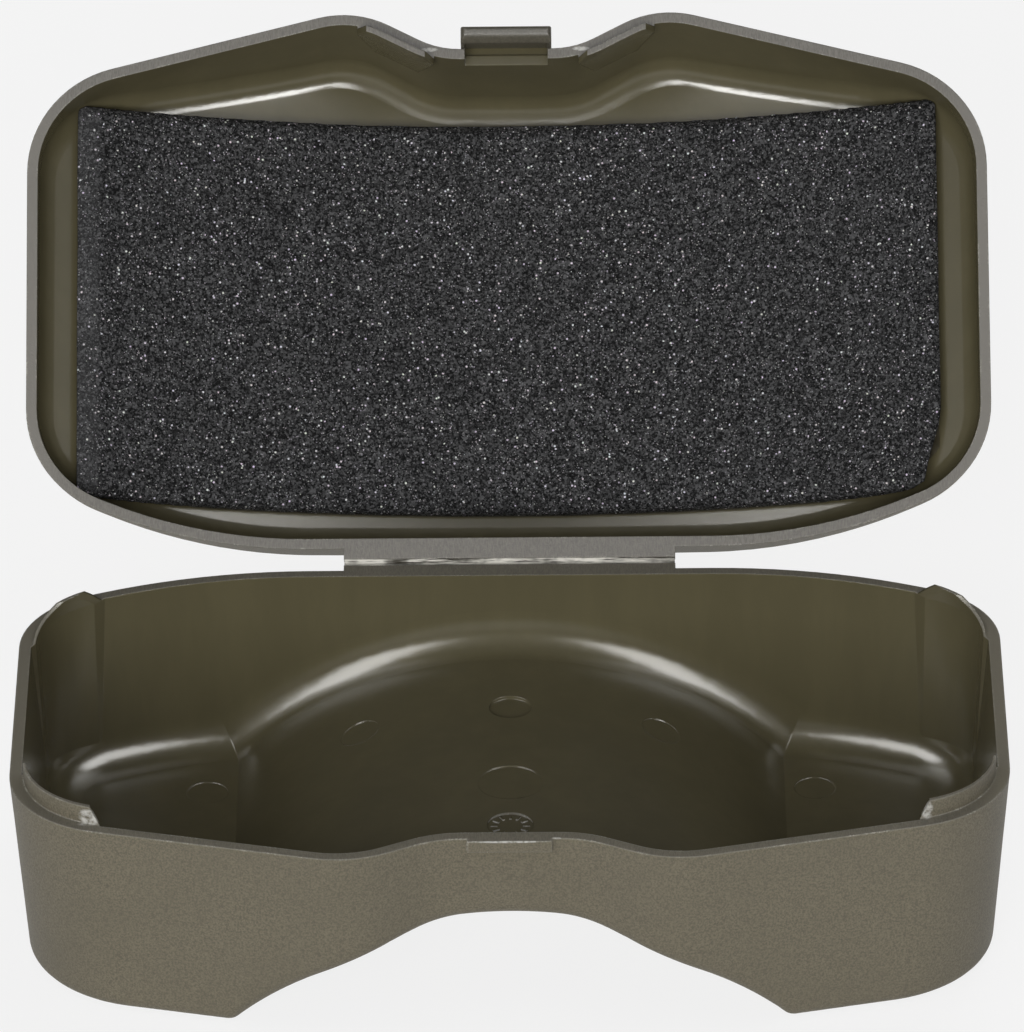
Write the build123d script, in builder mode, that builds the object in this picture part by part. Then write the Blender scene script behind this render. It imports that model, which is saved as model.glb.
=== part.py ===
from build123d import *
from math import asin, cos, hypot, radians, sin, tan
import os

# Glasses case: a deep tub and a domed lid moulded in one piece with a living hinge, shown open.
# Millimetres, +Z up. The case stands on z = 0 with the lid open as in its rest pose.
# The origin is under the middle of the open case, X runs along the hinge, -Y is the front.

# Plan outline of the rim, the same for the tub and the lid: sharp corners of the right half as
# (half width, distance in front of the outer back wall), and the radius that rounds each.
# The corners of the tub are rounded a little differently at the foot.
CASE_WIDTH = 190.0
HALF_WIDTH = CASE_WIDTH / 2
NOTCH_FRONT = 102.5
OUTLINE_CORNERS = [(60.5, 0.0), (HALF_WIDTH, 14.3), (HALF_WIDTH, 94.8), (30.0, 111.0), (13.5, NOTCH_FRONT)]
RIM_RADII = [105.0, 22.0, 22.0, 20.0, -18.0]
FOOT_RADII = [99.0, 20.5, 27.0, 20.0, -18.0]
CASE_REACH = 2 * NOTCH_FRONT

# Height, and the back wall's place, which centres the open case over the origin
TUB_HEIGHT = 39.5
BACK_WALL_Y = 5.95
RIM_GAP = 0.1

# Drafts of the front, side and back walls in degrees
TUB_DRAFTS = (1.5, 4.0, 1.5)
LID_DRAFTS = (3.0, 3.0, 11.0)

# Tub: flat floors at both ends, and an arch between them that leaves room for the nose
TUB_WALL = 2.3
TUB_FLOOR = 3.2
FOOT_ROUND = 2.8
FLOOR_ROUND = 7.0
ARCH_RADIUS = 73.0
ARCH_RISE = 22.1
ARCH_TOP_RADIUS = 77.4
ARCH_TOP_RISE = 24.7

# Locating ribs: they thicken a wall inside and stand above its rim, into the other half.
# The tub has them in its corners and the lid has them beside the nose notch.
# Below the rim each thins away down its wall, by its taper in degrees.
RIB_THICK = 1.3
SIDE_RIB_THICK = 0.8
CORNER_TAPER = 1.75
RIB_CLEARANCE = 0.35
RIB_LEAN = 0.5
FRONT_RIB_RISE = 3.6
BACK_RIB_RISE = 3.2
NOTCH_RIB_RISE = 3.6
NOTCH_RIB_THICK = 1.75
NOTCH_RIB_DEPTH = 13.0
NOTCH_TAPER = 8.0

# Plans of the right half's ribs as (x, distance in front of the outer back wall): at the rim,
# at the top where their ends have sloped away, and at the lower end of the notch ribs
FRONT_RIB_FOOT = [(77.3, 77.5), (77.3, 115.0), (100.0, 115.0), (100.0, 77.5)]
FRONT_RIB_TOP = [(79.1, 79.3), (79.1, 115.0), (100.0, 115.0), (100.0, 79.3)]
BACK_RIB_FOOT = [(73.0, 3.5), (86.0, 18.0), (93.5, 30.5), (100.0, 30.5), (100.0, 3.5)]
BACK_RIB_TOP = [(74.4, 3.5), (86.0, 16.4), (93.5, 20.0), (100.0, 20.0), (100.0, 3.5)]
NOTCH_RIB_FOOT = [(14.3, 90.0), (14.3, 120.0), (29.5, 120.0), (29.5, 90.0)]
NOTCH_RIB_TOP = [(16.1, 90.0), (16.1, 120.0), (27.7, 120.0), (27.7, 90.0)]
NOTCH_RIB_LOW = [(17.8, 90.0), (17.8, 120.0), (26.0, 120.0), (26.0, 90.0)]

# Ejector-pin marks on the floor: (x, distance in front of the back wall, radius, depth)
PIN_MARKS = [
    (0.0, 28.0, 4.1, 0.6),
    (0.0, 56.7, 6.2, 0.3),
    (-29.4, 27.7, 4.0, 0.18),
    (29.4, 27.7, 4.0, 0.18),
    (-59.4, 23.5, 4.0, 0.15),
    (59.4, 23.5, 4.0, 0.15),
]
MARK_CUT = 4.0

# Round moulding dial on the floor: a shallow recess with plain ticks
DIAL_FORWARD = 72.5
DIAL_RADIUS = 4.4
DIAL_DEPTH = 0.45
TICK_COUNT = 12
TICK_RING = 3.1
TICK_SIZE = (1.3, 0.45, 0.25)

# Lid: a shallow dome whose crown is a cylinder along the case from back to front
LID_OPEN_ANGLE = 134.3
LID_WALL = 2.1
LID_SKIN = 1.7
LID_BLOCK = 45.0
CROWN_RADIUS = 240.0
CROWN_TILT = 1.5
CROWN_DEPTH = 23.5
LID_INNER_ROUND = 4.6
LID_OUTER_ROUND = 6.0

# Living hinge
HINGE_WIDTH = 65.0
FLANGE_REACH = 2.1
FLANGE_THICK = 2.2
FLANGE_ROOT = 1.0
HINGE_OFFSET = 2.9
WEB_THICK = 0.45

# Latch: the catch ridge on the tub, and the tongue that hangs from the lid
CATCH_WIDTH = 16.0
CATCH_REACH = 1.1
CATCH_HEIGHT = 2.45
TONGUE_WIDTH = 18.0
TONGUE_SET = 1.3
TONGUE_THICK = 2.1
TONGUE_HANG = 4.6
TONGUE_ROOT = 4.1
TONGUE_CORNER = 1.1
TONGUE_ROUND = 0.8
CHEEK_THICK = 0.75
BARB_TOP = 2.65
BARB_EDGE = 0.6
BARB_ROUND = 0.5
WALL_CLEARANCE = 0.15
WINDOW_DEPTH = 3.7
BOSS_START = 4.2
BOSS_FLAT = 6.2
BOSS_END = 11.0

# Foam sheet on the lid's ceiling, and the adhesive film that holds it
FOAM_THICK = 4.0
FOAM_HALF_WIDTH = 85.0
FOAM_BACK = 12.6
FOAM_FRONT = 93.3
FOAM_CLEARANCE = 0.3
ADHESIVE_THICK = 0.2
ADHESIVE_INSET = 7.0

# An edge counts as lying on a surface when these points along it are this close to it.
EDGE_SAMPLES = (0.0, 0.4, 1.0)
TOUCH = 0.01

# In each half's working plane x runs along the hinge, y runs forward from the outer back wall,
# and z leaves the rim for the depth of the half. The lid's plane is already swung open.
swing = radians(LID_OPEN_ANGLE)
hinge_point = Vector(0, BACK_WALL_Y + HINGE_OFFSET, TUB_HEIGHT + RIM_GAP / 2)
lid_forward = Vector(0, -cos(swing), sin(swing))
lid_depth = Vector(0, sin(swing), cos(swing))
lid_origin = hinge_point + lid_forward * HINGE_OFFSET + lid_depth * (RIM_GAP / 2)
tub_plane = Plane(origin=(0, BACK_WALL_Y, TUB_HEIGHT), x_dir=(1, 0, 0), z_dir=(0, 0, -1))
lid_plane = Plane(origin=lid_origin, x_dir=(-1, 0, 0), z_dir=lid_depth)

# The round planes look along the axes of the tub's arch and of the lid's crown, from behind.
# The crown's plane crosses the ceiling right above the outer back wall.
arch_plane = Plane(origin=(0, BACK_WALL_Y, ARCH_RISE - ARCH_RADIUS), x_dir=(1, 0, 0), z_dir=(0, -1, 0))
arch_top_centre = ARCH_TOP_RISE - ARCH_TOP_RADIUS
arch_top_plane = Plane(origin=(0, BACK_WALL_Y, arch_top_centre), x_dir=(1, 0, 0), z_dir=(0, -1, 0))
tilt = radians(CROWN_TILT)
crown_forward = lid_forward * cos(tilt) + lid_depth * sin(tilt)
crown_up = lid_depth * cos(tilt) - lid_forward * sin(tilt)
crown_centre = lid_origin + lid_depth * CROWN_DEPTH - crown_up * CROWN_RADIUS
crown_plane = Plane(origin=crown_centre, x_dir=(1, 0, 0), z_dir=crown_forward)


def meeting_point(start, end, inset, next_end, next_inset):
    """Where the lines start-end and end-next_end meet, each moved inward by its inset."""
    moved = []
    for (x0, y0), (x1, y1), shift in ((start, end, inset), (end, next_end, next_inset)):
        length = hypot(x1 - x0, y1 - y0)
        along = ((x1 - x0) / length, (y1 - y0) / length)
        moved.append((x0 - along[1] * shift, y0 + along[0] * shift, along))
    (ax, ay, a), (bx, by, b) = moved
    step = ((bx - ax) * b[1] - (by - ay) * b[0]) / (a[0] * b[1] - a[1] * b[0])
    return (ax + a[0] * step, ay + a[1] * step)


def outline(plane, inset=0.0, more_at_side=0.0, more_at_back=0.0, radii=RIM_RADII):
    """The case's outline, drawn in by the inset, and further at the sides and the back."""
    first, last = OUTLINE_CORNERS[0], OUTLINE_CORNERS[-1]
    chain = [(-first[0], first[1]), *OUTLINE_CORNERS, (-last[0], last[1])]
    back, side = inset + more_at_back, inset + more_at_side
    insets = [back, back, side, inset, inset, inset]
    right = [
        meeting_point(chain[i - 1], chain[i], insets[i - 1], chain[i + 1], insets[i])
        for i in range(1, len(chain) - 1)
    ]
    left = [(-x, y) for x, y in reversed(right)]
    rounds = [abs(radius - inset) for radius in radii]
    with BuildSketch(plane) as sketch:
        with BuildLine():
            FilletPolyline(*right, *left, radius=rounds + rounds[::-1], close=True)
        make_face()
    return sketch.sketch


def block_ends(plane, depth, inset, drafts, end_radii=RIM_RADII, taper=0.0, more_at_side=0.0):
    """The two outlines at the ends of a block that narrows by the drafts and widens by the taper."""
    front, side, back = (depth * tan(radians(draft - taper)) for draft in drafts)
    end_side = more_at_side + side - front
    end = outline(plane.offset(depth), inset + front, end_side, back - front, end_radii)
    return [outline(plane, inset, more_at_side), end]


def facing_out(plane):
    """The same plane seen from the other half: its z leaves the rim away from the depth."""
    return Plane(origin=plane.origin, x_dir=-plane.x_dir, z_dir=-plane.z_dir)


def disc(plane, radius):
    """A circle about the plane's origin."""
    with BuildSketch(plane) as sketch:
        Circle(radius)
    return sketch.sketch


def strip(plane, width, near, far):
    """A rectangle across the middle, from near to far in front of the back wall."""
    with BuildSketch(plane) as sketch:
        with Locations((0, near)):
            Rectangle(width, far - near, align=(Align.CENTER, Align.MIN))
    return sketch.sketch


def cross_section(plane, points, width, rounds=0.0):
    """A profile of (forward, depth) points, on a plane across the hinge at half the width."""
    across = Plane(origin=plane.origin - plane.x_dir * width / 2, x_dir=plane.y_dir, z_dir=plane.x_dir)
    with BuildSketch(across) as sketch:
        with BuildLine():
            FilletPolyline(*points, radius=rounds, close=True)
        make_face()
    return sketch.sketch


def plan(plane, corners, side):
    """A plan of the right half by its corners, or its mirror image for side -1."""
    with BuildSketch(plane) as sketch:
        with BuildLine():
            Polyline(*[(side * x, forward) for x, forward in corners], close=True)
        make_face()
    return sketch.sketch


def stencils(plane, height, *plans):
    """Blocks on both sides that change over the height from each first plan to its second."""
    with BuildPart() as blocks:
        for near, far in plans:
            for side in (-1, 1):
                loft([plan(plane, near, side), plan(plane.offset(height), far, side)])
    return blocks.part


def rib_tops(plane, rise, inner_inset, more_at_side, foot, top):
    """The parts of a pair of ribs that stand above the rim, leaning in at the back."""
    outer_inset = TUB_WALL + RIB_CLEARANCE
    with BuildPart() as tops:
        loft([
            outline(plane, outer_inset),
            outline(plane.offset(rise), outer_inset, more_at_back=RIB_LEAN),
        ])
        loft(
            [
                outline(plane, inner_inset, more_at_side),
                outline(plane.offset(rise), inner_inset, more_at_side, RIB_LEAN),
            ],
            mode=Mode.SUBTRACT,
        )
        add(stencils(plane, rise, (foot, top)), mode=Mode.INTERSECT)
    return tops.part


def on_round(edge, plane, radius):
    """True for an edge on the cylinder of the radius about the plane's axis."""
    points = [plane.to_local_coords(edge @ t) for t in EDGE_SAMPLES]
    return all(abs(hypot(point.X, point.Y) - radius) < TOUCH for point in points)


def at_height(edge, height):
    """True for an edge that lies level at the height."""
    return all(abs((edge @ t).Z - height) < TOUCH for t in EDGE_SAMPLES)


def floor_plane(x, forward):
    """A plane that lies on the tub's floor or on the top of its arch at the place, looking up."""
    lean = asin(x / ARCH_TOP_RADIUS)
    height = arch_top_centre + ARCH_TOP_RADIUS * cos(lean)
    if height < TUB_FLOOR:
        return Plane(origin=(x, BACK_WALL_Y - forward, TUB_FLOOR), x_dir=(1, 0, 0), z_dir=(0, 0, 1))
    return Plane(
        origin=(x, BACK_WALL_Y - forward, height),
        x_dir=(cos(lean), 0, -sin(lean)),
        z_dir=(sin(lean), 0, cos(lean)),
    )


def lid_hollow(inset, crown_radius):
    """The space under the lid's dome, or a smaller one inside it, rounded along its ceiling."""
    with BuildPart() as hollow:
        loft(block_ends(lid_plane, LID_BLOCK, inset, LID_DRAFTS))
        extrude(disc(crown_plane.offset(-CASE_REACH / 2), crown_radius), amount=CASE_REACH * 2,
                mode=Mode.INTERSECT)
        fillet(
            ShapeList(edge for edge in hollow.edges() if on_round(edge, crown_plane, crown_radius)),
            radius=LID_INNER_ROUND,
        )
    return hollow.part


def lining(outer_radius, inner_radius):
    """The end of a sheet that follows the crown between two radii, as wide as the foam."""
    with BuildSketch(crown_plane.offset(FOAM_BACK)) as sketch:
        Circle(outer_radius)
        Circle(inner_radius, mode=Mode.SUBTRACT)
        with Locations((0, CROWN_RADIUS)):
            Rectangle(2 * FOAM_HALF_WIDTH, CROWN_RADIUS, mode=Mode.INTERSECT)
    return sketch.sketch


# The space above the tub's flat floor, rounded where the floor meets the walls
tub_space_ends = block_ends(tub_plane, TUB_HEIGHT - TUB_FLOOR, TUB_WALL, TUB_DRAFTS, FOOT_RADII)
with BuildPart() as floor_space:
    loft(tub_space_ends)
    fillet(ShapeList(edge for edge in floor_space.edges() if at_height(edge, TUB_FLOOR)), radius=FLOOR_ROUND)

# The space inside the tub's walls: two pockets and the shallow middle over the arch.
# The roundings of the arch and of the floor meet in a sharp mitre.
with BuildPart() as tub_space:
    loft(tub_space_ends)
    extrude(disc(arch_top_plane, ARCH_TOP_RADIUS), amount=CASE_REACH, mode=Mode.SUBTRACT)
    fillet(
        ShapeList(
            edge
            for edge in tub_space.edges()
            if on_round(edge, arch_top_plane, ARCH_TOP_RADIUS) and not at_height(edge, TUB_FLOOR)
        ),
        radius=FLOOR_ROUND,
    )
    add(floor_space.part, mode=Mode.INTERSECT)

# The corner ribs below the rim, rooted in the wall and the floor, and thinnest at the sides
corner_rib_inset = TUB_WALL + RIB_THICK
side_difference = SIDE_RIB_THICK - RIB_THICK
with BuildPart() as corner_posts:
    loft(block_ends(tub_plane, TUB_HEIGHT - TUB_FLOOR / 2, TUB_WALL / 2, TUB_DRAFTS, FOOT_RADII))
    loft(
        block_ends(
            tub_plane, TUB_HEIGHT, corner_rib_inset, TUB_DRAFTS, FOOT_RADII, CORNER_TAPER, side_difference
        ),
        mode=Mode.SUBTRACT,
    )
    add(
        stencils(tub_plane, TUB_HEIGHT, (FRONT_RIB_FOOT, FRONT_RIB_FOOT), (BACK_RIB_FOOT, BACK_RIB_FOOT)),
        mode=Mode.INTERSECT,
    )

# The tub
with BuildPart() as base_tub:
    loft(block_ends(tub_plane, TUB_HEIGHT, 0, TUB_DRAFTS, FOOT_RADII))
    extrude(disc(arch_plane.offset(-CASE_REACH / 2), ARCH_RADIUS), amount=CASE_REACH * 2, mode=Mode.SUBTRACT)
    fillet(
        ShapeList(
            edge
            for edge in base_tub.edges()
            if at_height(edge, 0) or on_round(edge, arch_plane, ARCH_RADIUS)
        ),
        radius=FOOT_ROUND,
    )
    add(tub_space.part, mode=Mode.SUBTRACT)
    add(corner_posts.part)
    for rise, foot, top in (
        (FRONT_RIB_RISE, FRONT_RIB_FOOT, FRONT_RIB_TOP),
        (BACK_RIB_RISE, BACK_RIB_FOOT, BACK_RIB_TOP),
    ):
        add(rib_tops(facing_out(tub_plane), rise, corner_rib_inset, side_difference, foot, top))
    extrude(strip(tub_plane, HINGE_WIDTH, -FLANGE_REACH, FLANGE_ROOT), amount=FLANGE_THICK)
    extrude(strip(tub_plane, CATCH_WIDTH, NOTCH_FRONT - TUB_WALL / 2, NOTCH_FRONT + CATCH_REACH),
            amount=CATCH_HEIGHT)
    for mark_x, mark_forward, mark_radius, mark_depth in PIN_MARKS:
        mark_plane = floor_plane(mark_x, mark_forward).offset(-mark_depth)
        extrude(disc(mark_plane, mark_radius), amount=MARK_CUT, mode=Mode.SUBTRACT)
    dial_plane = floor_plane(0, DIAL_FORWARD).offset(-DIAL_DEPTH)
    extrude(disc(dial_plane, DIAL_RADIUS), amount=MARK_CUT, mode=Mode.SUBTRACT)
    with BuildSketch(dial_plane):
        with PolarLocations(TICK_RING, TICK_COUNT):
            Rectangle(TICK_SIZE[0], TICK_SIZE[1])
    extrude(amount=TICK_SIZE[2])
base_tub.part.label = "base_tub"

# The notch ribs inside the lid's wall: wedges that are gone before they reach the ceiling
notch_rib_inset = LID_WALL + NOTCH_RIB_THICK
with BuildPart() as notch_posts:
    loft(block_ends(lid_plane, NOTCH_RIB_DEPTH, LID_WALL / 2, LID_DRAFTS))
    loft(block_ends(lid_plane, NOTCH_RIB_DEPTH, notch_rib_inset, LID_DRAFTS, taper=NOTCH_TAPER),
         mode=Mode.SUBTRACT)
    add(stencils(lid_plane, NOTCH_RIB_DEPTH, (NOTCH_RIB_FOOT, NOTCH_RIB_LOW)), mode=Mode.INTERSECT)

# The lid, with the window behind its latch and the boss that carries the tongue
tongue_back = NOTCH_FRONT + TONGUE_SET
tongue_front = tongue_back + TONGUE_THICK
cheek_gap = TONGUE_WIDTH - 2 * CHEEK_THICK
boss_profile = [
    (NOTCH_FRONT - LID_WALL / 2, BOSS_START),
    (tongue_front, BOSS_START),
    (tongue_front, BOSS_FLAT),
    (NOTCH_FRONT - LID_WALL / 2, BOSS_END),
]
with BuildPart() as lid_shell:
    loft(block_ends(lid_plane, LID_BLOCK, 0, LID_DRAFTS))
    extrude(disc(crown_plane.offset(-CASE_REACH / 2), CROWN_RADIUS + LID_SKIN), amount=CASE_REACH * 2,
            mode=Mode.INTERSECT)
    fillet(
        ShapeList(
            edge for edge in lid_shell.edges() if on_round(edge, crown_plane, CROWN_RADIUS + LID_SKIN)
        ),
        radius=LID_OUTER_ROUND,
    )
    extrude(cross_section(lid_plane, boss_profile, TONGUE_WIDTH), amount=TONGUE_WIDTH)
    add(lid_hollow(LID_WALL, CROWN_RADIUS), mode=Mode.SUBTRACT)
    add(notch_posts.part)
    add(rib_tops(facing_out(lid_plane), NOTCH_RIB_RISE, notch_rib_inset, 0, NOTCH_RIB_FOOT, NOTCH_RIB_TOP))
    extrude(strip(lid_plane, HINGE_WIDTH, -FLANGE_REACH, FLANGE_ROOT), amount=FLANGE_THICK)
    extrude(strip(lid_plane, cheek_gap, NOTCH_FRONT - 2 * LID_WALL, tongue_back), amount=WINDOW_DEPTH,
            mode=Mode.SUBTRACT)
lid_shell.part.label = "lid_shell"

# The living hinge: a thin web between the edges of the two flanges
web_near = Vector(0, BACK_WALL_Y + FLANGE_REACH, TUB_HEIGHT)
web_far = lid_origin - lid_forward * FLANGE_REACH
web_corners = [web_near, web_near - Vector(0, 0, WEB_THICK), web_far + lid_depth * WEB_THICK, web_far]
with BuildPart() as living_hinge:
    with BuildSketch(Plane.YZ.offset(-HINGE_WIDTH / 2)):
        with BuildLine():
            Polyline(*[(corner.Y, corner.Z) for corner in web_corners], close=True)
        make_face()
    extrude(amount=HINGE_WIDTH)
living_hinge.part.label = "living_hinge"

# The latch tongue: a plate whose barb reaches in to the wall, between two cheeks
wall_face = NOTCH_FRONT + WALL_CLEARANCE
tongue_profile = [
    (tongue_front, TONGUE_ROOT),
    (tongue_front, -TONGUE_HANG),
    (tongue_back, -TONGUE_HANG),
    (wall_face, -BARB_TOP - BARB_EDGE),
    (wall_face, TONGUE_ROOT),
]
tongue_rounds = [0.0, TONGUE_ROUND, TONGUE_ROUND, BARB_ROUND, 0.0]
cheek_gap_profile = [
    (tongue_back, TONGUE_ROOT),
    (tongue_back, -BARB_TOP),
    (wall_face - WALL_CLEARANCE, -BARB_TOP),
    (wall_face - WALL_CLEARANCE, TONGUE_ROOT),
]
tongue_tip = lid_origin - lid_depth * TONGUE_HANG
with BuildPart() as latch_tongue:
    extrude(cross_section(lid_plane, tongue_profile, TONGUE_WIDTH, tongue_rounds), amount=TONGUE_WIDTH)
    extrude(cross_section(lid_plane, cheek_gap_profile, cheek_gap), amount=cheek_gap, mode=Mode.SUBTRACT)
    with BuildSketch(Plane(origin=tongue_tip, x_dir=lid_plane.x_dir, z_dir=lid_forward)):
        RectangleRounded(TONGUE_WIDTH, CASE_REACH, TONGUE_CORNER, align=(Align.CENTER, Align.MAX))
    extrude(amount=CASE_REACH, mode=Mode.INTERSECT)
latch_tongue.part.label = "latch_tongue"

# The adhesive film and the foam sheet that it holds to the lid's ceiling
foam_reach = FOAM_FRONT - FOAM_BACK
film_radius = CROWN_RADIUS - ADHESIVE_THICK
with BuildPart() as foam_adhesive:
    extrude(lining(CROWN_RADIUS, film_radius), amount=foam_reach)
    loft(block_ends(lid_plane, LID_BLOCK, ADHESIVE_INSET, LID_DRAFTS), mode=Mode.INTERSECT)
foam_adhesive.part.label = "foam_adhesive"

with BuildPart() as foam_pad:
    extrude(lining(film_radius, film_radius - FOAM_THICK), amount=foam_reach)
    add(lid_hollow(LID_WALL + FOAM_CLEARANCE, film_radius), mode=Mode.INTERSECT)
foam_pad.part.label = "foam_pad"

os.makedirs("parts", exist_ok=True)
pieces = [base_tub, lid_shell, living_hinge, latch_tongue, foam_adhesive, foam_pad]
for piece in pieces:
    export_step(piece.part, f"parts/{piece.part.label}.step")
case_box = Compound(children=[piece.part for piece in pieces]).bounding_box()
print("open case from", case_box.min, "to", case_box.max)
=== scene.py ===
from math import cos, pi, radians, sin

import bpy
import numpy as np
from mathutils import Matrix, Vector


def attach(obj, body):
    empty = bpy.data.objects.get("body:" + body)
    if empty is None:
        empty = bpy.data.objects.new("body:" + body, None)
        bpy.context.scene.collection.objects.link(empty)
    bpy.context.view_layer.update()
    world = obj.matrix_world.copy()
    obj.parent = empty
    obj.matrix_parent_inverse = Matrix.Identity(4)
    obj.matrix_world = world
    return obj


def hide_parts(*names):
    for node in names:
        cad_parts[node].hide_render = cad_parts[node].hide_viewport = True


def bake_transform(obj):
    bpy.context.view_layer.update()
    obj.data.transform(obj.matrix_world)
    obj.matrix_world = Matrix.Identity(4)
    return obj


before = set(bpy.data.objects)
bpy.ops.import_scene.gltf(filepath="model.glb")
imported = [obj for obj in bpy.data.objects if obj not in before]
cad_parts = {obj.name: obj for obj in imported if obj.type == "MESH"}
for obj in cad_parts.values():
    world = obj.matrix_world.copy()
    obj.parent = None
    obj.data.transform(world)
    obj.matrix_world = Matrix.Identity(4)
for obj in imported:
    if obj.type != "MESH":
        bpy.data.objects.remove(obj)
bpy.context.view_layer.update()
scene = bpy.context.scene

# The case stands open on z = 0, in metres. The lid's own directions follow from its angle.
LID_OPEN = radians(134.3)
LID_FORWARD = Vector((0, -cos(LID_OPEN), sin(LID_OPEN)))
LID_DEPTH = Vector((0, sin(LID_OPEN), cos(LID_OPEN)))
LID_ORIGIN = Vector((0, 0.010911, 0.041591))
TUB_FORWARD = Vector((0, -1, 0))
TUB_DEPTH = Vector((0, 0, -1))
TUB_ORIGIN = Vector((0, 0.00595, 0.0395))
HALF_REACH = 0.055

# The crown is a cylinder along the lid: its axis, and how far it leans forward.
CROWN_TILT = radians(1.5)
CROWN_RADIUS = 0.24
CROWN_DEPTH = 0.0235
CROWN_FORWARD = LID_FORWARD * cos(CROWN_TILT) + LID_DEPTH * sin(CROWN_TILT)
CROWN_UP = LID_DEPTH * cos(CROWN_TILT) - LID_FORWARD * sin(CROWN_TILT)
CROWN_CENTRE = LID_ORIGIN + LID_DEPTH * CROWN_DEPTH - CROWN_UP * CROWN_RADIUS

# The hinge web, from the tub's flange to the lid's
HINGE_HALF_WIDTH = 0.0325
WEB_START = Vector((0, 0.00805, 0.0395))
WEB_END = LID_ORIGIN - LID_FORWARD * 0.0021

# The foam sheet lies on its film, against the ceiling
FOAM_OUTER_RADIUS = CROWN_RADIUS - 0.0002
FOAM_THICK = 0.004
FOAM_HALF_WIDTH = 0.085
FOAM_BACK = 0.0126
FOAM_FRONT = 0.0933


# Camera, placed from the rims of the tub and the lid in the photograph
FRAME_WIDTH = 1024
FOCAL_PIXELS = 11292.926
CAMERA_DISTANCE = 2.206094
CAMERA_ELEVATION = radians(29.282)
CAMERA_TURN = radians(0.273)
CAMERA_ROLL = radians(-0.59)
CAMERA_AIM = Vector((0.000581, 0.00595, 0.0515))


def add_camera():
    """The camera at the photograph's angle."""
    back = Vector((
        sin(CAMERA_TURN) * cos(CAMERA_ELEVATION),
        -cos(CAMERA_TURN) * cos(CAMERA_ELEVATION),
        sin(CAMERA_ELEVATION),
    ))
    level = (-back).cross(Vector((0, 0, 1))).normalized()
    upright = level.cross(-back)
    right = level * cos(CAMERA_ROLL) + upright * sin(CAMERA_ROLL)
    up = upright * cos(CAMERA_ROLL) - level * sin(CAMERA_ROLL)
    data = bpy.data.cameras.new("camera")
    data.sensor_fit = "HORIZONTAL"
    data.sensor_width = 36
    data.lens = FOCAL_PIXELS / FRAME_WIDTH * data.sensor_width
    data.clip_start, data.clip_end = 0.1, 40
    camera = bpy.data.objects.new("camera", data)
    camera.matrix_world = Matrix.Translation(CAMERA_AIM + back * CAMERA_DISTANCE) @ Matrix(
        (right, up, back)).transposed().to_4x4()
    scene.collection.objects.link(camera)
    scene.camera = camera


BEVEL_SAMPLES = 6


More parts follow.
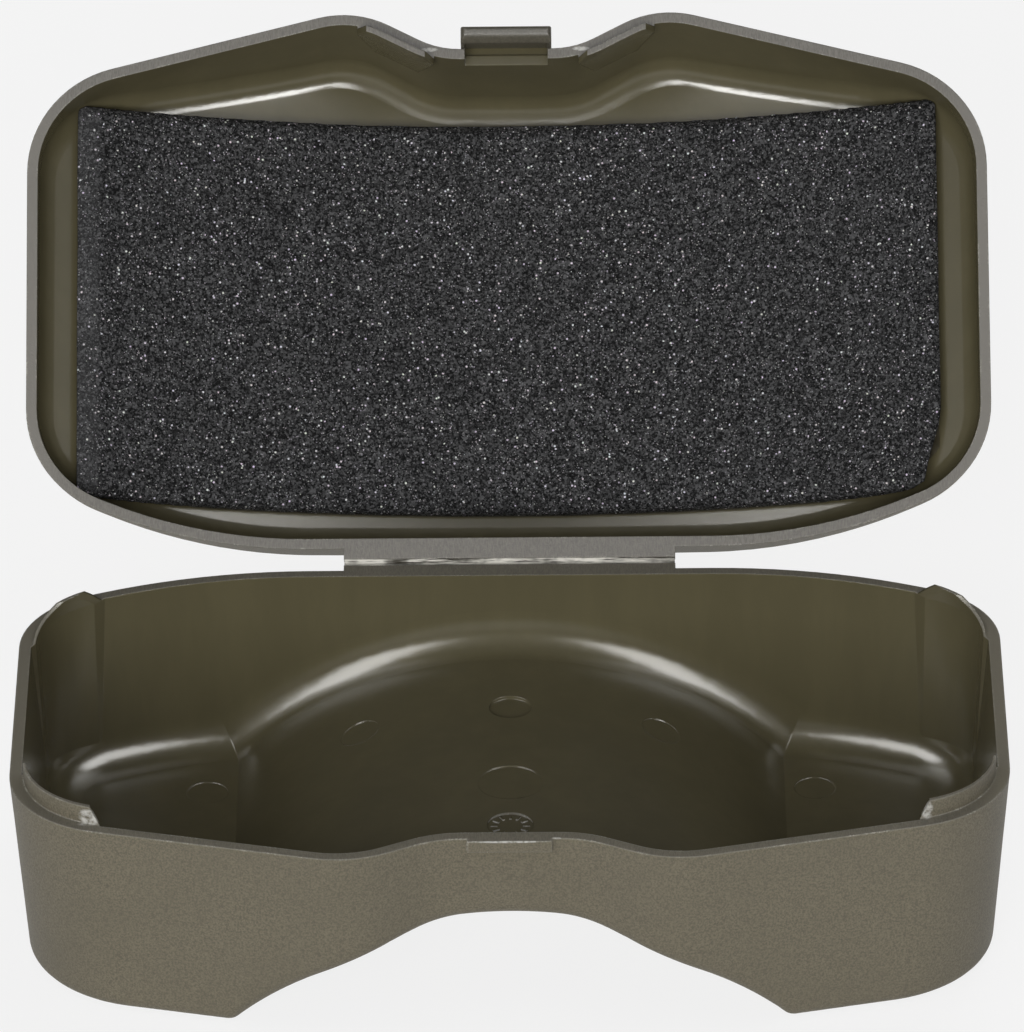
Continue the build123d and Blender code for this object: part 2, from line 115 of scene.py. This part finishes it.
class Shader:
    """The nodes of a material or a world, built up in a few short calls."""

    def __init__(self, owner, output="ShaderNodeOutputMaterial"):
        owner.use_nodes = True
        self.owner = owner
        self.tree = owner.node_tree
        self.tree.nodes.clear()
        self.output = self.node(output)
        self.coords = self.node("ShaderNodeTexCoord")

    def node(self, kind, settings=None, **inputs):
        """A new node with its settings, and its input sockets fed by name."""
        made = self.tree.nodes.new(kind)
        for key, value in (settings or {}).items():
            setattr(made, key, value)
        for key, value in inputs.items():
            self.feed(made.inputs[key.replace("_", " ")], value)
        return made

    def feed(self, socket, value):
        """Links a socket to the input, or writes a plain value into it."""
        if isinstance(value, bpy.types.NodeSocket):
            self.tree.links.new(value, socket)
        elif isinstance(value, (tuple, list, Vector)) and socket.type == "RGBA":
            socket.default_value = (*value, 1)
        else:
            socket.default_value = value

    def math(self, operation, a, b=0.0, c=0.0, clamp=False):
        """A sum, product or comparison of numbers."""
        made = self.tree.nodes.new("ShaderNodeMath")
        made.operation = operation
        made.use_clamp = clamp
        for socket, value in zip(made.inputs, (a, b, c)):
            self.feed(socket, value)
        return made.outputs[0]

    def vector(self, operation, a, b=(0, 0, 0)):
        """A sum, product or direction of vectors."""
        made = self.tree.nodes.new("ShaderNodeVectorMath")
        made.operation = operation
        self.feed(made.inputs[0], a)
        self.feed(made.inputs[1], b)
        return made.outputs["Value" if operation == "DOT_PRODUCT" else "Vector"]

    def ramp(self, value, low, high, start=0.0, end=1.0):
        """The value taken from low..high to start..end, smoothly and no further."""
        made = self.node("ShaderNodeMapRange", {"interpolation_type": "SMOOTHSTEP"}, Value=value)
        for key, number in (("From Min", low), ("From Max", high), ("To Min", start), ("To Max", end)):
            made.inputs[key].default_value = number
        return made.outputs[0]

    def mix(self, factor, a, b):
        """The first colour taken to the second by the factor."""
        made = self.tree.nodes.new("ShaderNodeMix")
        made.data_type = "RGBA"
        self.feed(made.inputs["Factor"], factor)
        self.feed(made.inputs[6], a)
        self.feed(made.inputs[7], b)
        return made.outputs[2]

    def stretched(self, scales):
        """The object's own coordinates, drawn out along each direction."""
        made = self.node("ShaderNodeMapping", Vector=self.coords.outputs["Object"])
        made.inputs["Scale"].default_value = scales
        return made.outputs[0]

    def noise(self, scale, detail=2.0, vector=None, roughness=0.5):
        """Noise over the object, with so many swells to the metre."""
        made = self.node(
            "ShaderNodeTexNoise",
            Vector=vector or self.coords.outputs["Object"],
            Scale=scale,
            Detail=detail,
            Roughness=roughness,
        )
        return made.outputs[0]

    def bump(self, height, distance, strength=1.0, normal=None):
        """The surface's direction, tilted by a height."""
        made = self.node("ShaderNodeBump", Height=height, Distance=distance, Strength=strength)
        if normal is not None:
            self.feed(made.inputs["Normal"], normal)
        return made.outputs[0]

    def rounded(self, radius):
        """The surface's direction with its edges rounded over."""
        return self.node("ShaderNodeBevel", {"samples": BEVEL_SAMPLES}, Radius=radius).outputs[0]

    def edge_sheen_and_wear(self, reach):
        """How near an outer edge is, by how far the surface's direction turns within the reach."""
        turned = self.rounded(reach)
        flat = self.node("ShaderNodeNewGeometry").outputs["True Normal"]
        return self.ramp(self.math("SUBTRACT", 1.0, self.vector("DOT_PRODUCT", turned, flat)), 0.02, 0.25)

    def backdrop_rays(self):
        """1 for the rays that look at the backdrop: from the camera, off gloss and through glass."""
        rays = self.node("ShaderNodeLightPath").outputs
        seen = self.math("MAXIMUM", rays["Is Glossy Ray"], rays["Is Transmission Ray"])
        return self.math("MAXIMUM", rays["Is Camera Ray"], seen)

    def blend(self, share, first, second):
        """Sends a mix of two shaders to the output."""
        both = self.node("ShaderNodeMixShader", Fac=share)
        self.tree.links.new(first.outputs[0], both.inputs[1])
        self.tree.links.new(second.outputs[0], both.inputs[2])
        self.tree.links.new(both.outputs[0], self.output.inputs["Surface"])

    def finish(self, **sockets):
        """Sends a plain surface to the output, and gives back the finished material."""
        surface = self.node("ShaderNodeBsdfPrincipled", **sockets)
        self.tree.links.new(surface.outputs[0], self.output.inputs["Surface"])
        return self.owner


def shaded(name):
    """A new material, ready for its nodes."""
    return Shader(bpy.data.materials.new(name))


def times(color, factor):
    """The colour made lighter or darker."""
    return [value * factor for value in color]


# Plastic colours: grained outside, polished inside painted darker as painted shade, the rim faces of
# both halves and how much lighter they are at the sides, the tongue, edges made paler by painted
# highlight and by rubbing, flash and the two tones of the web
OUTER_COLOR = (0.156, 0.138, 0.096)
SHADED_INNER_COLOR = (0.121, 0.106, 0.059)
TUB_RIM_COLOR = (0.136, 0.122, 0.086)
LID_RIM_COLOR = (0.144, 0.132, 0.110)
SIDE_RIM_LIFT = 1.15
TONGUE_COLOR = (0.098, 0.089, 0.066)
SHEEN_AND_SCUFF_COLOR = (0.46, 0.44, 0.38)
FLASH_COLOR = (0.60, 0.59, 0.55)
WEB_DARK_COLOR = (0.035, 0.03, 0.02)
WEB_PALE_COLOR = (0.86, 0.83, 0.75)
OUTER_ROUGH = 0.60
INNER_ROUGH = 0.23
FLEXED_ROUGH = 0.42
PLASTIC_IOR = 1.49

# How many swells of the noises there are to the metre, and how high the relief stands
GRAIN_SCALE = 2600
CLOUD_SCALE = 60
STAIN_SCALE = 140
STREAK_SCALE = 900
RIPPLE_SCALE = 750
GRAIN_HEIGHT = 0.00009
RIPPLE_HEIGHT = 0.000012
TONGUE_GRAIN_SCALE = 2200
TONGUE_GRAIN_HEIGHT = 0.00004
WEB_STREAK_SCALE = 420
WEB_STREAK_HEIGHT = 0.00015

# Rounded edges, and edges made paler: their reach, and how strongly they show. The even paleness along every
# outer edge is partly a painted highlight of the rounded edge, partly wear.
EDGE_ROUND = 0.0004
SHEEN_AND_SCUFF_REACH = 0.0008
EDGE_SHEEN_AND_SCUFF = 0.20
TONGUE_SCUFF = 0.45

# Pale flash and rubbed spots, in mm: middle (x, in front of the back wall, under the rim), reach
TUB_FLASH = [
    ((0.0, 103.6, 0.1), (7.8, 0.25, 0.28)),
    ((-79.6, 96.0, -1.4), (3.0, 1.2, 1.9)),
    ((78.6, 95.8, -1.6), (1.3, 1.4, 2.2)),
    ((91.7, 78.0, -2.8), (0.5, 0.9, 0.8)),
    ((-91.7, 78.4, -2.8), (0.5, 0.9, 0.8)),
    ((8.8, 102.6, 0.0), (1.0, 0.5, 0.3)),
]
LID_FLASH = [
    ((14.9, 102.4, 0.0), (1.9, 0.5, 0.4)),
    ((-15.3, 102.4, 0.0), (1.9, 0.5, 0.4)),
    ((95.0, 20.0, 0.0), (0.5, 4.5, 0.5)),
]


def plastic(name, origin, forward, depth, rim_color, flash):
    """Moulded plastic of one half: outside, inside and rim are told apart by place and direction."""
    s = shaded(name)
    place = s.vector("SUBTRACT", s.coords.outputs["Object"], origin + forward * HALF_REACH)
    normal = s.coords.outputs["Normal"]
    facing_depth = s.vector("DOT_PRODUCT", normal, depth)
    level = s.vector("DOT_PRODUCT", place, depth)
    ahead = s.vector("DOT_PRODUCT", place, forward)
    across = s.vector("DOT_PRODUCT", place, Vector((1, 0, 0)))
    drop = s.tree.nodes.new("ShaderNodeVectorMath")
    drop.operation = "SCALE"
    s.feed(drop.inputs[0], depth)
    s.feed(drop.inputs["Scale"], level)
    sideways = s.vector("NORMALIZE", s.vector("SUBTRACT", place, drop.outputs["Vector"]))
    facing_out = s.vector("DOT_PRODUCT", normal, sideways)
    outside = s.ramp(s.math("MULTIPLY_ADD", facing_depth, 2.0, facing_out), -0.05, 0.05)
    at_rim = s.math("MULTIPLY", s.ramp(level, 0.00012, 0.00003), s.ramp(facing_depth, -0.6, -0.9))
    worked = s.math("MAXIMUM", outside, at_rim)

    grain = s.noise(GRAIN_SCALE, 3.0, roughness=0.65)
    cloud = s.noise(CLOUD_SCALE, 4.0, roughness=0.6)
    stain = s.noise(STAIN_SCALE, 3.0, s.stretched((1.0, 1.0, 0.25)), 0.65)
    streak = s.noise(STREAK_SCALE, 2.0, s.stretched((5.0, 1.0, 1.0)), 0.6)
    ripple = s.noise(RIPPLE_SCALE, 3.0, roughness=0.7)

    outer = s.mix(s.ramp(grain, 0.32, 0.68), times(OUTER_COLOR, 0.72), times(OUTER_COLOR, 1.26))
    outer = s.mix(s.ramp(cloud, 0.35, 0.75, 0.0, 0.35), outer, times(OUTER_COLOR, 0.82))
    # The inside is the same plastic painted darker: a painted shade of the halves' insides, with faint real
    # stains
    inner = s.mix(s.ramp(stain, 0.3, 0.8), times(SHADED_INNER_COLOR, 0.95), times(SHADED_INNER_COLOR, 1.05))
    beside = s.ramp(s.math("ABSOLUTE", across), 0.086, 0.093)
    rim = s.mix(s.ramp(streak, 0.3, 0.7), times(rim_color, 0.82), times(rim_color, 1.18))
    rim = s.mix(beside, rim, times(rim_color, SIDE_RIM_LIFT))

    patches = s.math("MULTIPLY", s.ramp(s.noise(150, 4.0, roughness=0.75), 0.46, 0.62),
                     s.ramp(s.noise(2100, 2.0), 0.42, 0.6))
    # Every outer edge is made paler: partly a painted highlight of the rounded edge, partly wear; the noise
    # patches add rubbed spots
    edges = s.math("MULTIPLY", s.edge_sheen_and_wear(SHEEN_AND_SCUFF_REACH), worked)
    sheen_and_scuffs = s.math("MULTIPLY_ADD", edges, EDGE_SHEEN_AND_SCUFF, s.math("MULTIPLY", edges, patches), clamp=True)

    pale = 0.0
    for middle, reach in flash:
        parts = []
        for along, value, size in zip((across, ahead, level), middle, reach):
            shift = HALF_REACH if along is ahead else 0.0
            part = s.math("DIVIDE", s.math("SUBTRACT", along, value / 1000 - shift), size / 1000)
            parts.append(s.math("MULTIPLY", part, part))
        reached = s.math("ADD", s.math("ADD", parts[0], parts[1]), parts[2])
        pale = s.math("MAXIMUM", pale, s.ramp(reached, 1.1, 0.35))
    pale = s.math("MULTIPLY", pale, s.ramp(s.noise(900, 3.0, roughness=0.6), 0.3, 0.65))

    color = s.mix(at_rim, s.mix(outside, inner, outer), rim)
    color = s.mix(sheen_and_scuffs, color, SHEEN_AND_SCUFF_COLOR)
    color = s.mix(pale, color, FLASH_COLOR)
    rough = s.math("MULTIPLY_ADD", worked, OUTER_ROUGH - INNER_ROUGH, INNER_ROUGH)
    wavy = s.bump(ripple, RIPPLE_HEIGHT, s.math("SUBTRACT", 1.0, worked), s.rounded(EDGE_ROUND))
    relief = s.bump(grain, GRAIN_HEIGHT, s.math("MULTIPLY_ADD", worked, 0.9, 0.03), wavy)
    return s.finish(Base_Color=color, Roughness=rough, Normal=relief, IOR=PLASTIC_IOR)


def tongue_plastic():
    """The latch tongue: the same plastic, rubbed lighter along its edges."""
    s = shaded("tongue_plastic")
    grain = s.noise(TONGUE_GRAIN_SCALE, 3.0, roughness=0.6)
    color = s.mix(s.ramp(grain, 0.3, 0.7), times(TONGUE_COLOR, 0.8), times(TONGUE_COLOR, 1.15))
    sheen_and_scuffs = s.math("MULTIPLY", s.edge_sheen_and_wear(SHEEN_AND_SCUFF_REACH), s.ramp(s.noise(900, 3.0), 0.45, 0.65))
    color = s.mix(s.math("MULTIPLY", sheen_and_scuffs, TONGUE_SCUFF), color, SHEEN_AND_SCUFF_COLOR)
    relief = s.bump(grain, TONGUE_GRAIN_HEIGHT, 0.6, s.rounded(EDGE_ROUND))
    return s.finish(Base_Color=color, Roughness=FLEXED_ROUGH, Normal=relief, IOR=PLASTIC_IOR)


def flexed_plastic():
    """The hinge web: whitened by bending, in streaks along the hinge."""
    s = shaded("flexed_plastic")
    streak = s.noise(WEB_STREAK_SCALE, 4.0, s.stretched((0.2, 3.0, 3.0)), 0.7)
    patch = s.noise(260, 3.0, s.stretched((0.7, 1.0, 1.0)), 0.6)
    pale = s.math("MULTIPLY", s.ramp(streak, 0.38, 0.56), s.ramp(patch, 0.3, 0.55, 0.2, 1.0))
    color = s.mix(pale, WEB_DARK_COLOR, WEB_PALE_COLOR)
    relief = s.bump(streak, WEB_STREAK_HEIGHT, 0.8)
    return s.finish(Base_Color=color, Roughness=FLEXED_ROUGH, Normal=relief, IOR=PLASTIC_IOR)


# Foam: the colours of its pores, struts, glints and the painted light on its left cut end, and its
# layers of cells as (cells to the metre, share without a glint, how bright the glints are)
PORE_COLOR = (0.010, 0.010, 0.0101)
STRUT_COLOR = (0.150, 0.150, 0.154)
GLINT_COLOR = (0.86, 0.93, 1.0)
FOAM_LIT_END_COLOR = (0.17, 0.17, 0.175)
FOAM_LAYERS = ((3800.0, 0.950, 0.55), (2300.0, 0.978, 1.3))
FOAM_END = -0.0818
FOAM_END_BLEND = 0.0018
FOAM_ROUGH = 0.85
FOAM_RELIEF = 0.00012

# The film's two tones
FILM_DARK_COLOR = (0.06, 0.052, 0.032)
FILM_PALE_COLOR = (0.09, 0.08, 0.055)


def foam_look():
    """Charcoal open-cell foam: dark pores, grey struts and the glint of single cell walls."""
    s = shaded("foam_look")
    clump = s.noise(500, 3.0, roughness=0.6)
    color = PORE_COLOR
    for scale, least, strength in FOAM_LAYERS:
        cells = s.node("ShaderNodeTexVoronoi", Vector=s.coords.outputs["Object"], Scale=scale)
        pick = s.node("ShaderNodeTexWhiteNoise", {"noise_dimensions": "3D"}, Vector=cells.outputs["Position"])
        share = s.math("POWER", pick.outputs["Value"], 4.0)
        color = s.mix(s.math("MULTIPLY", share, 0.9), color, STRUT_COLOR)
        near = s.ramp(cells.outputs["Distance"], 0.6, 0.35)
        glint = s.math("MULTIPLY", s.math("GREATER_THAN", pick.outputs["Value"], least), near)
        tint = s.mix(0.2, GLINT_COLOR, pick.outputs["Color"])
        shine = s.math("MULTIPLY", glint, s.ramp(clump, 0.25, 0.7, strength * 0.5, strength), clamp=True)
        color = s.mix(shine, color, tint)
    # The left cut end is painted lighter: a painted highlight where its rounded edge catches the light
    across = s.vector("DOT_PRODUCT", s.coords.outputs["Object"], Vector((1, 0, 0)))
    lit_end = s.ramp(across, FOAM_END + FOAM_END_BLEND, FOAM_END, 0.0, 0.16)
    color = s.mix(lit_end, color, FOAM_LIT_END_COLOR)
    relief = s.bump(s.noise(3600, 2.0, roughness=0.7), FOAM_RELIEF, 0.9)
    return s.finish(Base_Color=color, Roughness=FOAM_ROUGH, Normal=relief, Specular_IOR_Level=0.1)


def adhesive_look():
    """The film of adhesive behind the foam."""
    s = shaded("adhesive_look")
    color = s.mix(s.ramp(s.noise(500, 3.0), 0.3, 0.7), FILM_DARK_COLOR, FILM_PALE_COLOR)
    return s.finish(Base_Color=color, Roughness=0.35)


def dress(node, material):
    """Gives a CAD node its material."""
    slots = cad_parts[node].data.materials
    slots.clear()
    slots.append(material)


# The tongue's edges are rounded over by a fine remesh and a few smoothing passes
TONGUE_VOXEL = 0.00012
TONGUE_PASSES = 16


def round_tongue():
    """Takes the sharpness off the tongue's edges and corners."""
    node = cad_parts["latch_tongue"]
    remesh = node.modifiers.new("even", "REMESH")
    remesh.mode = "VOXEL"
    remesh.voxel_size = TONGUE_VOXEL
    remesh.use_smooth_shade = True
    smooth = node.modifiers.new("rounded", "SMOOTH")
    smooth.factor = 0.5
    smooth.iterations = TONGUE_PASSES


def new_piece(name, vertices, faces, material):
    """A smooth-shaded mesh object."""
    mesh = bpy.data.meshes.new(name)
    mesh.from_pydata([tuple(v) for v in vertices], [], faces)
    mesh.validate()
    mesh.polygons.foreach_set("use_smooth", [True] * len(mesh.polygons))
    mesh.materials.append(material)
    piece = bpy.data.objects.new(name, mesh)
    scene.collection.objects.link(piece)
    return piece


def smooth_step(value, low, high):
    """0 below the low value and 1 above the high one, with a smooth rise between them."""
    t = np.clip((value - low) / (high - low), 0, 1)
    return t * t * (3 - 2 * t)


def waves(seed, count, longest, shortest):
    """Sine waves of random lengths, directions and phases, for gentle unevenness."""
    draw = np.random.default_rng(seed)
    lengths = draw.uniform(shortest, longest, count)
    turns = draw.uniform(0, 2 * pi, count)
    phases = draw.uniform(0, 2 * pi, count)

    def height(u, v):
        total = np.zeros_like(u)
        for length, turn, phase in zip(lengths, turns, phases):
            total += np.sin((u * cos(turn) + v * sin(turn)) * 2 * pi / length + phase)
        return total / count ** 0.5

    return height


# Foam sheet: how far its cut edges round over, the least that a point may sink, its long swells
# and small pits, and the corner that is pulled in
FOAM_VOXEL = 0.0007
FOAM_EDGE = 0.0022
FOAM_EDGE_DROP = 0.0011
FOAM_LEAST = -0.0002
FOAM_SWELL = 0.00012
FOAM_SWELL_LENGTHS = (0.06, 0.02)
FOAM_RAISE = 0.00005
FOAM_PIT = 0.00009
FOAM_PIT_LENGTHS = (0.003, 0.0014)
FOAM_TUCK = 0.0034
FOAM_TUCK_START = 0.06
FOAM_TUCK_REACH = 0.017


def add_foam():
    """The foam sheet: cut edges that round over, a slight swell, and a rough open face."""
    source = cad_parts["foam_pad"]
    piece = bpy.data.objects.new("foam_sheet", source.data.copy())
    scene.collection.objects.link(piece)
    remesh = piece.modifiers.new("even", "REMESH")
    remesh.mode = "VOXEL"
    remesh.voxel_size = FOAM_VOXEL
    bpy.context.view_layer.update()
    mesh = bpy.data.meshes.new_from_object(piece.evaluated_get(bpy.context.evaluated_depsgraph_get()))
    piece.modifiers.clear()
    piece.data = mesh
    points = np.array([v.co for v in mesh.vertices])
    centre, ahead = (np.array(v) for v in (CROWN_CENTRE, CROWN_FORWARD))
    rel = points - centre
    x, along = rel[:, 0], rel @ ahead
    radial = rel - np.outer(along, ahead)
    radius = np.linalg.norm(radial, axis=1)
    radial /= radius[:, None]
    height = FOAM_OUTER_RADIUS - radius
    share = np.clip(height / FOAM_THICK, 0, 1)
    to_edge = np.minimum(np.minimum(FOAM_HALF_WIDTH - np.abs(x), along - FOAM_BACK), FOAM_FRONT - along)
    fall = 1 - smooth_step(to_edge, FOAM_LEAST, FOAM_EDGE)
    swell = waves(3, 9, *FOAM_SWELL_LENGTHS)(x, along) * FOAM_SWELL
    pits = waves(11, 40, *FOAM_PIT_LENGTHS)(x, along) * FOAM_PIT
    sink = share * (fall * FOAM_EDGE_DROP + swell - FOAM_RAISE) + smooth_step(share, 0.5, 1.0) * pits
    low = 1 - smooth_step(along - FOAM_BACK, 0, FOAM_TUCK_REACH)
    tuck = smooth_step(x, FOAM_TUCK_START, FOAM_HALF_WIDTH) * low
    moved = points + radial * np.maximum(sink, FOAM_LEAST)[:, None]
    moved[:, 0] -= FOAM_TUCK * tuck
    mesh.vertices.foreach_set("co", moved.astype(np.float32).ravel())
    mesh.polygons.foreach_set("use_smooth", [True] * len(mesh.polygons))
    mesh.materials.clear()
    mesh.materials.append(foam_look())
    mesh.update()
    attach(piece, "lid")
    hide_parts("foam_pad")


# Hinge web
WEB_SEGMENTS = 12
WEB_STEPS = 130
WEB_BULGE = 0.0004
WEB_THICK_ENDS = 0.00022
WEB_THICK_MIDDLE = 0.00014
WEB_SIDE_GAP = 0.0001
WEB_RIPPLE = 0.00003
WEB_RIPPLE_LENGTHS = (0.02, 0.004)
WEB_REACH = 0.004


def add_web():
    """The bent web of the living hinge, thinnest in the middle, with uneven edges."""
    across = (WEB_END - WEB_START)
    out = Vector((0, across.z, -across.y)).normalized()
    ripple = waves(5, 7, *WEB_RIPPLE_LENGTHS)
    rows = []
    for i in range(WEB_STEPS + 1):
        x = (2 * i / WEB_STEPS - 1) * (HINGE_HALF_WIDTH - WEB_SIDE_GAP)
        row = []
        for side in (-1, 1):
            for k in range(WEB_SEGMENTS + 1):
                t = k / WEB_SEGMENTS if side < 0 else 1 - k / WEB_SEGMENTS
                wobble = float(ripple(np.array(x), np.array(t * WEB_REACH))) * WEB_RIPPLE
                bulge = WEB_BULGE * sin(pi * t)
                thick = WEB_THICK_ENDS + (WEB_THICK_MIDDLE - WEB_THICK_ENDS) * sin(pi * t) + wobble
                centre = WEB_START.lerp(WEB_END, t) + out * (bulge + WEB_THICK_ENDS)
                row.append(centre + Vector((x, 0, 0)) - out * (-side) * thick)
        rows.append(row)
    count = len(rows[0])
    vertices = [v for row in rows for v in row]
    faces = []
    for i in range(WEB_STEPS):
        for k in range(count):
            a, b = i * count + k, i * count + (k + 1) % count
            faces.append((a, b, b + count, a + count))
    faces.append(tuple(range(count - 1, -1, -1)))
    faces.append(tuple(WEB_STEPS * count + k for k in range(count)))
    web = new_piece("hinge_web", vertices, faces, flexed_plastic())
    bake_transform(web)
    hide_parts("living_hinge")


# Stage and light
FLOOR_SIZE = 14.0
FLOOR_GLOW = 0.82
FLOOR_COLOR = (0.82, 0.82, 0.82)
AMBIENT = 0.115
HORIZON = (0.03, 0.08)


def add_stage():
    """A pale floor that keeps a faint shadow, and a soft sky that is white near the horizon."""
    half = FLOOR_SIZE / 2
    s = shaded("floor_look")
    matte = s.node("ShaderNodeBsdfDiffuse", Color=FLOOR_COLOR)
    glow = s.node("ShaderNodeEmission", Color=(1, 1, 1), Strength=1.0)
    s.blend(s.math("MULTIPLY", s.backdrop_rays(), FLOOR_GLOW), matte, glow)
    corners = [(-half, -half, 0), (half, -half, 0), (half, half, 0), (-half, half, 0)]
    new_piece("floor", corners, [(0, 1, 2, 3)], s.owner)

    scene.world = bpy.data.worlds.new("sky")
    w = Shader(scene.world, "ShaderNodeOutputWorld")
    height = w.vector("DOT_PRODUCT", w.coords.outputs["Generated"], Vector((0, 0, 1)))
    low = w.ramp(height, HORIZON[0], HORIZON[1], 1.0, 0.0)
    soft = w.node("ShaderNodeBackground", Color=(1, 1, 1), Strength=AMBIENT)
    white = w.node("ShaderNodeBackground", Color=(1, 1, 1), Strength=1.0)
    w.blend(w.math("MULTIPLY", w.backdrop_rays(), low), soft, white)


# Each lamp: name, where it hangs, width, depth, power in watts, and the nodes that show it in
# their polish. A lamp with no such nodes lights the matte surfaces.
LAMPS = [
    ("front_fill", (-0.4, -2.75, 0.95), 2.0, 1.4, 56.0, ()),
    ("back_fill", (0.5, 2.3, 1.1), 2.0, 1.4, 38.0, ()),
    ("top_left", (-0.80, -0.42, 1.36), 0.55, 0.65, 0.8, ()),
    ("top_right", (0.80, -0.42, 1.36), 0.55, 0.65, 0.8, ()),
    ("strip_left", (-0.92, -0.42, 1.32), 1.4, 0.62, 33.0, ("base_tub",)),
    ("strip_right", (0.92, -0.42, 1.32), 1.4, 0.62, 33.0, ("base_tub",)),
    ("box_left", (-0.55, -0.95, 1.26), 0.60, 0.34, 22.0, ("lid_shell", "latch_tongue")),
    ("box_right", (0.55, -0.95, 1.26), 0.60, 0.34, 22.0, ("lid_shell", "latch_tongue")),
]
LIT_POINT = Vector((0, -0.02, 0.04))


def add_lamps():
    """Soft boxes in front, behind and overhead."""
    for name, place, width, depth, power, shown_in in LAMPS:
        data = bpy.data.lights.new(name, "AREA")
        data.shape = "RECTANGLE"
        data.size, data.size_y = width, depth
        data.energy = power
        lamp = bpy.data.objects.new(name, data)
        lamp.location = place
        lamp.rotation_mode = "QUATERNION"
        lamp.rotation_quaternion = (LIT_POINT - Vector(place)).to_track_quat("-Z", "Y")
        lamp.visible_diffuse = not shown_in
        lamp.visible_glossy = bool(shown_in)
        if shown_in:
            lit = bpy.data.collections.new(name + "_shown_in")
            for node in shown_in:
                lit.objects.link(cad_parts[node])
            lamp.light_linking.receiver_collection = lit
        scene.collection.objects.link(lamp)


add_camera()
dress("base_tub", plastic("tub_plastic", TUB_ORIGIN, TUB_FORWARD, TUB_DEPTH, TUB_RIM_COLOR, TUB_FLASH))
dress("lid_shell", plastic("lid_plastic", LID_ORIGIN, LID_FORWARD, LID_DEPTH, LID_RIM_COLOR, LID_FLASH))
dress("latch_tongue", tongue_plastic())
dress("foam_adhesive", adhesive_look())
round_tongue()
add_foam()
add_web()
add_stage()
add_lamps()
scene.view_settings.view_transform = "Standard"
